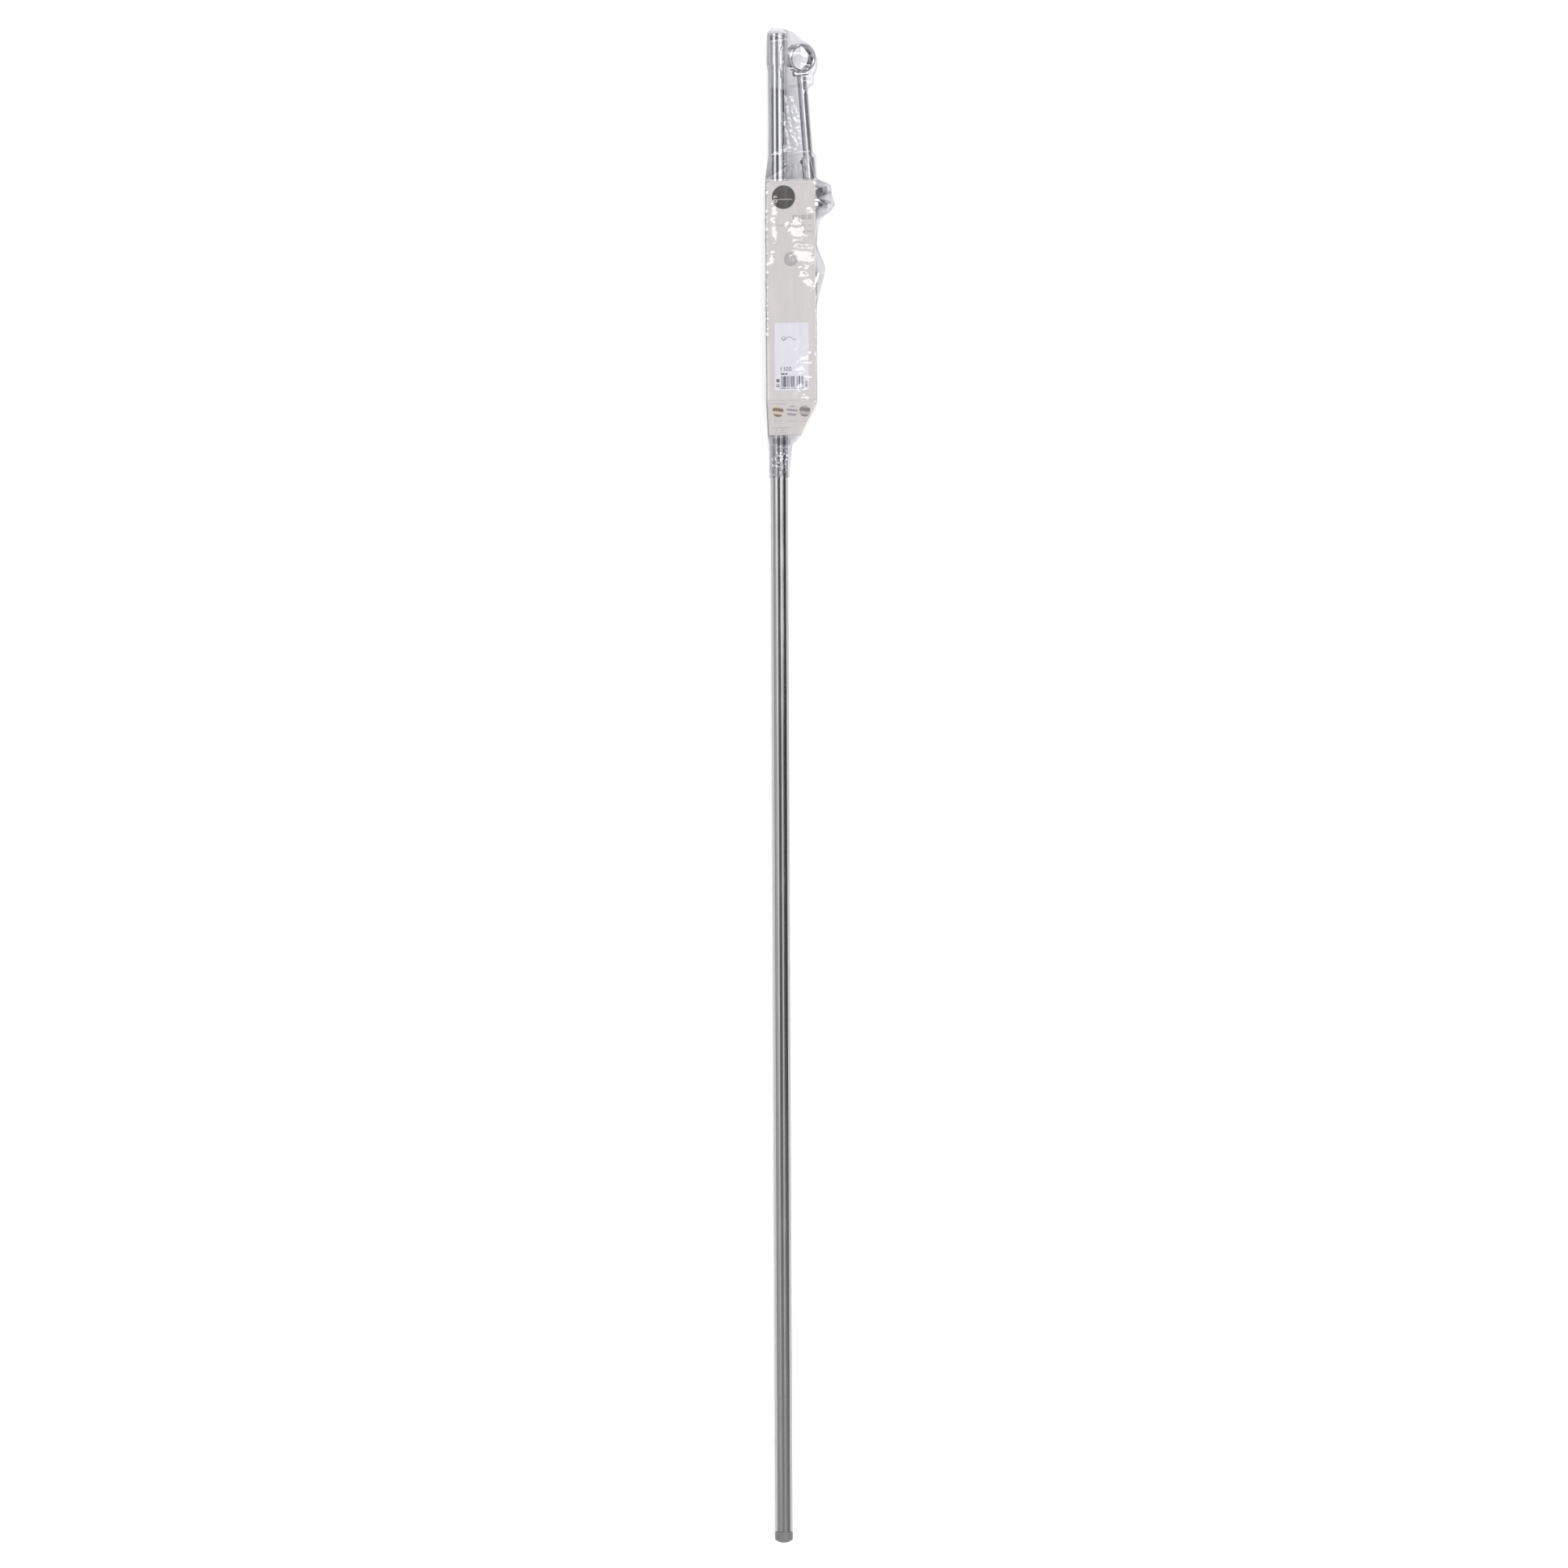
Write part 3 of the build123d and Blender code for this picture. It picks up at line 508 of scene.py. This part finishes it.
# ---- film bag ----
film_mesh = frame["nodes"]["film_wrap"].data
film_mesh.calc_loop_triangles()
film_points = [v.co.copy() for v in film_mesh.vertices]
film_triangles = [tuple(tri.vertices) for tri in film_mesh.loop_triangles]
by_row = {}
row_step = 1.0 * mm
for tri in film_triangles:
    ys = [film_points[i].y for i in tri]
    for key in range(int(min(ys) / row_step) - 1, int(max(ys) / row_step) + 2):
        by_row.setdefault(key, []).append(tri)


def section(y):
    """The convex outline of the CAD film where a plane across the pack cuts it, in x and z."""
    crossings = []
    for tri in by_row.get(int(y / row_step), ()):
        for a, b in ((0, 1), (1, 2), (2, 0)):
            p1, p2 = film_points[tri[a]], film_points[tri[b]]
            if (p1.y - y) * (p2.y - y) < 0:
                share = (y - p1.y) / (p2.y - p1.y)
                crossings.append((p1.x + (p2.x - p1.x) * share, p1.z + (p2.z - p1.z) * share))
    crossings = sorted(set(crossings))
    hull = []
    for ordered in (crossings, crossings[::-1]):
        part = []
        for point in ordered:
            while len(part) > 1:
                (x1, z1), (x2, z2) = part[-2], part[-1]
                if (x2 - x1) * (point[1] - z1) - (z2 - z1) * (point[0] - x1) <= 0:
                    part.pop()
                else:
                    break
            part.append(point)
        hull += part[:-1]
    return hull


def around(outline, count):
    """Even places along a closed outline, from its left end and over the top."""
    outline = outline[::-1]
    start = min(range(len(outline)), key=lambda i: outline[i][0])
    outline = outline[start:] + outline[:start] + [outline[start]]
    lengths = [hypot(b[0] - a[0], b[1] - a[1]) for a, b in zip(outline, outline[1:])]
    total = sum(lengths)
    places, index, done = [], 0, 0.0
    for step in range(count):
        target = total * step / count
        while done + lengths[index] < target:
            done += lengths[index]
            index += 1
        share = (target - done) / lengths[index]
        a, b = outline[index], outline[index + 1]
        places.append((a[0] + (b[0] - a[0]) * share, a[1] + (b[1] - a[1]) * share))
    return places


film_columns = 168
end_inset = 0.4 * mm
skin_inset = 0.12 * mm
crown_rise = 0.3 * mm
film_rows = int((film_high[1] - film_low[1] - 2 * end_inset) / row_step)
row_places = [film_high[1] - end_inset - row_step * row for row in range(film_rows + 1)]
grid = np.array([around(section(y), film_columns) for y in row_places])


def soften(values, rows, columns):
    """Gaussian smoothing down the rows, and round the columns, which close on themselves."""
    for axis, spread in ((0, rows), (1, columns)):
        if not spread:
            continue
        reach = int(3 * spread)
        weights = np.exp(-0.5 * (np.arange(-reach, reach + 1) / spread) ** 2)
        weights /= weights.sum()
        total = np.zeros_like(values)
        for offset, weight in zip(range(-reach, reach + 1), weights):
            if axis == 0:
                shifted = np.clip(np.arange(len(values)) + offset, 0, len(values) - 1)
                total += weight * values[shifted]
            else:
                total += weight * np.roll(values, -offset, axis=1)
        values = total
    return values


def outward_of(outlines):
    """Outward direction in the section plane at each place."""
    along = np.roll(outlines, -1, axis=1) - np.roll(outlines, 1, axis=1)
    size = np.linalg.norm(along, axis=2, keepdims=True)
    return np.stack([-along[..., 1], along[..., 0]], axis=2) / np.maximum(size, 1e-9)


grid = soften(grid, 1.2, 1.2)
normal = outward_of(grid)
grid = grid - normal * skin_inset

# Distances of each film place down the pole and right of its axis, in millimetres.
place_s = np.repeat((pole_top - np.array(row_places))[:, None] / mm, film_columns, axis=1)
place_dx = (grid[..., 0] - pole_x) / mm
place_z = grid[..., 1] / mm


def smooth_step(value, start, end):
    share = np.clip((value - start) / (end - start), 0, 1)
    return share * share * (3 - 2 * share)


def between(value, start, end, soft):
    """1 from start to end and 0 outside, with soft ends."""
    rise = smooth_step(value, start - soft, start + soft)
    return rise * (1 - smooth_step(value, end - soft, end + soft))


def field(scale_s, scale_dx, seed, shear=0.0):
    """Noise over the film, with wavelengths down and across in millimetres and a shear."""
    result = np.empty_like(place_s)
    for row in range(place_s.shape[0]):
        for column in range(film_columns):
            s, dx, z = place_s[row, column], place_dx[row, column], place_z[row, column]
            place = Vector((s / scale_s, (dx + shear * s) / scale_dx, z / scale_dx + seed))
            result[row, column] = noise.fractal(place, 1.0, 2.0, 2)
    return result


# Relief of the film in millimetres: slow waves all over, folds in the gap between the pole and the
# arm, crumples at the head, the gathered crown, crinkles low beside the card, the loose mouth, and
# ripples down the left side.
on_top = smooth_step(normal[..., 1], 0.05, 0.5)
relief = 0.05 * field(40.0, 6.0, 1.7)
gap = between(place_s, 62, 150, 8) * between(place_dx, 6, 33, 3) * on_top
relief += gap * (0.75 * field(30.0, 5.0, 5.3, -0.22) + 0.3 * field(12.0, 3.0, 8.8, -0.3))
crumple = between(place_s, 2, 36, 5) * between(place_dx, 11, 27, 3) * on_top
relief += crumple * 0.24 * field(5.0, 4.0, 3.1)
relief += (1 - smooth_step(place_s, -2, 5)) * 0.5 * field(6.0, 3.0, 11.0)
crinkle = between(place_s, 330, 440, 10) * between(place_dx, 16, 38, 5) * on_top
relief += crinkle * 0.14 * field(4.5, 3.2, 21.0, 0.4)
mouth = smooth_step(place_s, 436, 446)
relief += mouth * (0.5 * field(13.0, 2.6, 31.0) + 0.36 * field(3.5, 2.4, 35.0))
left_side = between(place_s, 156, 330, 8) * (1 - smooth_step(place_dx, -12.5, -10.0))
relief += left_side * 0.7 * np.abs(field(8.0, 4.0, 41.0))

# Slack places where the film lies in shallow steps that face the head: each one has the places
# of its middle, its half length and half width, its turn, and the slope and length of a step.
ragged = field(9.0, 7.0, 51.0)
ragged_fine = field(3.0, 3.0, 57.0)
for middle_dx, middle_s, half_s, half_dx, turn, slope, step in (
    (19.5, 213.0, 13.0, 8.5, -12, 4.5, 13.0),
    (26.0, 239.0, 14.0, 10.0, -38, 4.5, 15.0),
    (31.5, 268.0, 12.0, 3.6, -28, 4.5, 12.0),
    (-3.6, 190.0, 14.0, 1.7, 3, 4.0, 14.0),
    (-4.4, 214.0, 16.0, 2.3, -4, 4.0, 16.0),
    (-6.8, 242.0, 10.0, 1.6, 10, 4.0, 10.0),
    (33.0, 190.0, 6.0, 2.0, -20, 4.0, 6.0),
    (19.5, 92.0, 24.0, 3.0, -13, 9.5, 11.0),
    (24.0, 120.0, 17.0, 1.8, -13, 9.5, 10.0),
    (16.0, 114.0, 20.0, 3.0, -16, 9.5, 11.0),
    (11.5, 134.0, 14.0, 6.5, -4, 9.0, 11.0),
    (10.5, 82.0, 20.0, 1.5, -10, 9.5, 12.0),
    (8.5, 106.0, 16.0, 1.4, -10, 9.5, 12.0),
    (28.0, 352.0, 5.0, 4.5, 30, 5.0, 4.0),
    (25.0, 363.0, 5.0, 3.5, -25, 5.0, 4.0),
    (30.0, 371.0, 4.0, 3.0, 40, 5.0, 3.5),
    (24.0, 381.0, 5.0, 4.5, 15, 5.0, 4.0),
    (28.0, 392.0, 4.0, 3.0, -40, 5.0, 3.5),
    (24.0, 404.0, 4.0, 2.5, 30, 5.0, 3.5),
):
    from_s, from_dx = place_s - middle_s, place_dx - middle_dx
    cos_turn, sin_turn = cos(radians(turn)), sin(radians(turn))
    lengthwise = from_s * cos_turn - from_dx * sin_turn
    crosswise = from_s * sin_turn + from_dx * cos_turn
    distance = np.sqrt((lengthwise / half_s) ** 2 + (crosswise / half_dx) ** 2)
    distance = distance + 0.55 * ragged + 0.3 * ragged_fine
    inside = 1 - smooth_step(distance, 0.85, 1.0)
    share = ((from_s + 3.0 * ragged) / step + 0.5) % 1.0
    relief += inside * on_top * share * step * tan(radians(slope))
grid = grid + normal * (soften(relief, 0.45, 0.45) * mm)[..., None]

bag_points = []
for row, y in enumerate(row_places):
    for column in range(film_columns):
        bag_points.append((grid[row, column, 0], y, grid[row, column, 1]))
bag_faces = []
for row in range(film_rows):
    for column in range(film_columns):
        a = row * film_columns + column
        b = row * film_columns + (column + 1) % film_columns
        bag_faces.append((a, b, b + film_columns, a + film_columns))
crown = len(bag_points)
crown_x, crown_z = (float(value) for value in grid[0].mean(axis=0))
bag_points.append((crown_x, row_places[0] + crown_rise, crown_z))
for column in range(film_columns):
    bag_faces.append((crown, (column + 1) % film_columns, column))

film_material, t = new_material("clear_film")
place = t.place()
facing = t.add("ShaderNodeLayerWeight")
facing.inputs["Blend"].default_value = 0.5
edge_on = t.math("POWER", facing.outputs["Facing"], 5.0)
mirror = t.math("ADD", t.math("MULTIPLY", edge_on, 0.9), 0.078, clamp=True)
fine = t.noise(place, 260.0, 3.0, 0.6, (1.0, 0.4, 1.0))
cloud = t.noise(place, 45.0, 3.0, 0.5, (1.0, 0.4, 1.0))
side_on = t.math("POWER", facing.outputs["Facing"], 2.0)
tint = t.mix(t.smooth(side_on, 0.0, 0.8), (0.83, 0.83, 0.848), (0.46, 0.46, 0.5))
clear = t.add("ShaderNodeBsdfTransparent")
t.set(clear.inputs["Color"], tint)
haze = t.add("ShaderNodeBsdfDiffuse")
haze.inputs["Color"].default_value = (0.8, 0.8, 0.84, 1)
veil = t.add("ShaderNodeMixShader")
t.set(veil.inputs[0], t.smooth(cloud, 0.3, 0.75, 0.004, 0.018))
t.set(veil.inputs[1], clear.outputs[0])
t.set(veil.inputs[2], haze.outputs[0])
gloss = t.add("ShaderNodeBsdfGlossy")
gloss.inputs["Color"].default_value = (1, 1, 1, 1)
t.set(gloss.inputs["Roughness"], t.smooth(cloud, 0.35, 0.8, 0.03, 0.1))
t.set(gloss.inputs["Normal"], t.bump(fine, 0.25, 0.00008))
surface = t.add("ShaderNodeMixShader")
t.set(surface.inputs[0], mirror)
t.set(surface.inputs[1], veil.outputs[0])
t.set(surface.inputs[2], gloss.outputs[0])
t.finish(surface.outputs[0])
film = add_mesh("film_bag", bag_points, bag_faces, [film_material])
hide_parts("film_wrap")

# ---- floor ----
floor_material, t = new_material("pale_floor")
place = t.place()
tone = t.mix(t.smooth(t.noise(place, 3.0, 3.0), 0.3, 0.7), 0.93, 0.95)
t.finish(t.principled(Base_Color=tone, Roughness=0.7))
floor_mesh = bpy.data.meshes.new("floor")
floor_half = 9.0
floor_corners = [(x * floor_half, y * floor_half, 0) for x, y in ((-1, -1), (1, -1), (1, 1), (-1, 1))]
floor_mesh.from_pydata(floor_corners, [], [(0, 1, 2, 3)])
floor = bpy.data.objects.new("floor", floor_mesh)
floor_mesh.materials.append(floor_material)
bpy.context.scene.collection.objects.link(floor)

# ---- studio light ----
# The surroundings depend on two things: the angle right of the zenith, and how far a direction
# leans to the pole's head. A tube that lies along the pack mirrors one angle in each of its
# lines, so strip lights along it make its stripes. Big panels lean to the head and the foot.
lens = 500.0
sensor = 36.0
view_height = 1.6744
camera_height = view_height * lens / sensor
head_lean = 0.8 / camera_height


def ramp(t, factor, stops):
    """Brightness from (degrees right of the zenith, brightness) stops."""
    node = t.add("ShaderNodeValToRGB")
    t.set(node.inputs["Fac"], factor)
    node.color_ramp.interpolation = "EASE"
    elements = node.color_ramp.elements
    peak = max(value for _, value in stops)
    for index, (angle, value) in enumerate(stops):
        position = (angle + 90) / 180
        if index < 2:
            element = elements[index]
            element.position = position
        else:
            element = elements.new(position)
        element.color = (value / peak, value / peak, value / peak, 1)
    return t.math("MULTIPLY", node.outputs["Color"], peak)


world = bpy.data.worlds.new("studio")
bpy.context.scene.world = world
world.use_nodes = True
t = Tree(world.node_tree)
towards = t.add("ShaderNodeSeparateXYZ")
t.set(towards.inputs[0], t.add("ShaderNodeTexCoord").outputs["Generated"])
right, up, zenith = towards.outputs[0], towards.outputs[1], towards.outputs[2]
angle = t.math("MULTIPLY", t.math("ARCTAN2", right, zenith), 180 / pi)
turn = t.math("ADD", t.math("DIVIDE", angle, 180.0), 0.5, clamp=True)
lean = t.math("DIVIDE", up, head_lean)
head = ramp(
    t,
    turn,
    [(-90, 0.42), (-74, 0.2), (-56, 0.5), (-46, 2.4), (-34, 2.2), (-22, 0.3), (-9, 0.08),
     (3, 0.1), (14, 2.6), (44, 2.6), (56, 0.25), (64, 0.08), (84, 0.08), (90, 0.2)],
)
middle = ramp(
    t,
    turn,
    [(-90, 0.44), (-76, 0.42), (-56, 0.46), (-46, 0.48), (-39, 0.8), (-31, 0.76), (-21, 0.13),
     (2, 0.06), (9, 0.14), (17, 0.62), (27, 0.58), (37, 0.12), (48, 0.05), (84, 0.05), (90, 0.1)],
)
foot = ramp(
    t,
    turn,
    [(-90, 0.38), (-60, 0.3), (-30, 0.36), (-16, 0.32), (0, 0.26), (22, 0.36), (44, 0.28),
     (60, 0.24), (78, 0.24), (90, 0.34)],
)
below = ramp(
    t,
    turn,
    [(-90, 0.5), (-70, 0.3), (-50, 0.9), (-20, 0.7), (-8, 1.9), (10, 1.9), (20, 0.45), (48, 0.12),
     (62, 0.1), (76, 0.8), (90, 0.5)],
)
stripes = t.mix(t.smooth(lean, -1.0, -0.2), foot, middle)
stripes = t.mix(t.smooth(lean, 0.35, 0.9), stripes, head)
stripes = t.mix(t.smooth(up, -0.13, -0.09, 1.0, 0.0), stripes, below)


def panel(near, far, brightness, side, first, last):
    """A soft panel between two leans to one end of the pack and between two angles."""
    soft_angle = 12.0
    slope = t.math("MULTIPLY", up, float(side))
    shown = t.math("MULTIPLY", t.smooth(slope, near, near + 0.03), t.smooth(slope, far, far + 0.06, 1, 0))
    shown = t.math("MULTIPLY", shown, t.smooth(angle, first, first + soft_angle))
    shown = t.math("MULTIPLY", shown, t.smooth(angle, last - soft_angle, last, 1.0, 0.0))
    return t.math("MULTIPLY", shown, brightness)


light = t.add("ShaderNodeSeparateColor")
t.set(light.inputs[0], stripes)
head_panel = panel(0.125, 0.36, 4.2, 1, -110.0, 68.0)
foot_panel = panel(0.22, 0.42, 5.8, -1, 2.0, 72.0)
glow = t.math("ADD", light.outputs[0], head_panel)
glow = t.math("ADD", glow, foot_panel)
seen = t.add("ShaderNodeLightPath").outputs["Is Camera Ray"]
glow = t.mix(seen, glow, 1.0)
background = t.add("ShaderNodeBackground")
t.set(background.inputs["Color"], glow)
world_out = t.add("ShaderNodeOutputWorld")
t.set(world_out.inputs["Surface"], background.outputs[0])

# ---- camera ----
centre_dx = 3.5 * mm
centre_s = 801.7 * mm
centre = Vector((pole_x + centre_dx, pole_top - centre_s, pole_z))
camera_data = bpy.data.cameras.new("camera")
camera_data.lens = lens
camera_data.sensor_width = sensor
camera_data.clip_end = 60.0
camera = bpy.data.objects.new("camera", camera_data)
camera.location = centre + Vector((0, 0, camera_height))
camera.rotation_euler = (0, 0, radians(-0.25))
bpy.context.scene.collection.objects.link(camera)
bpy.context.scene.camera = camera
bpy.context.scene.view_settings.view_transform = "Standard"
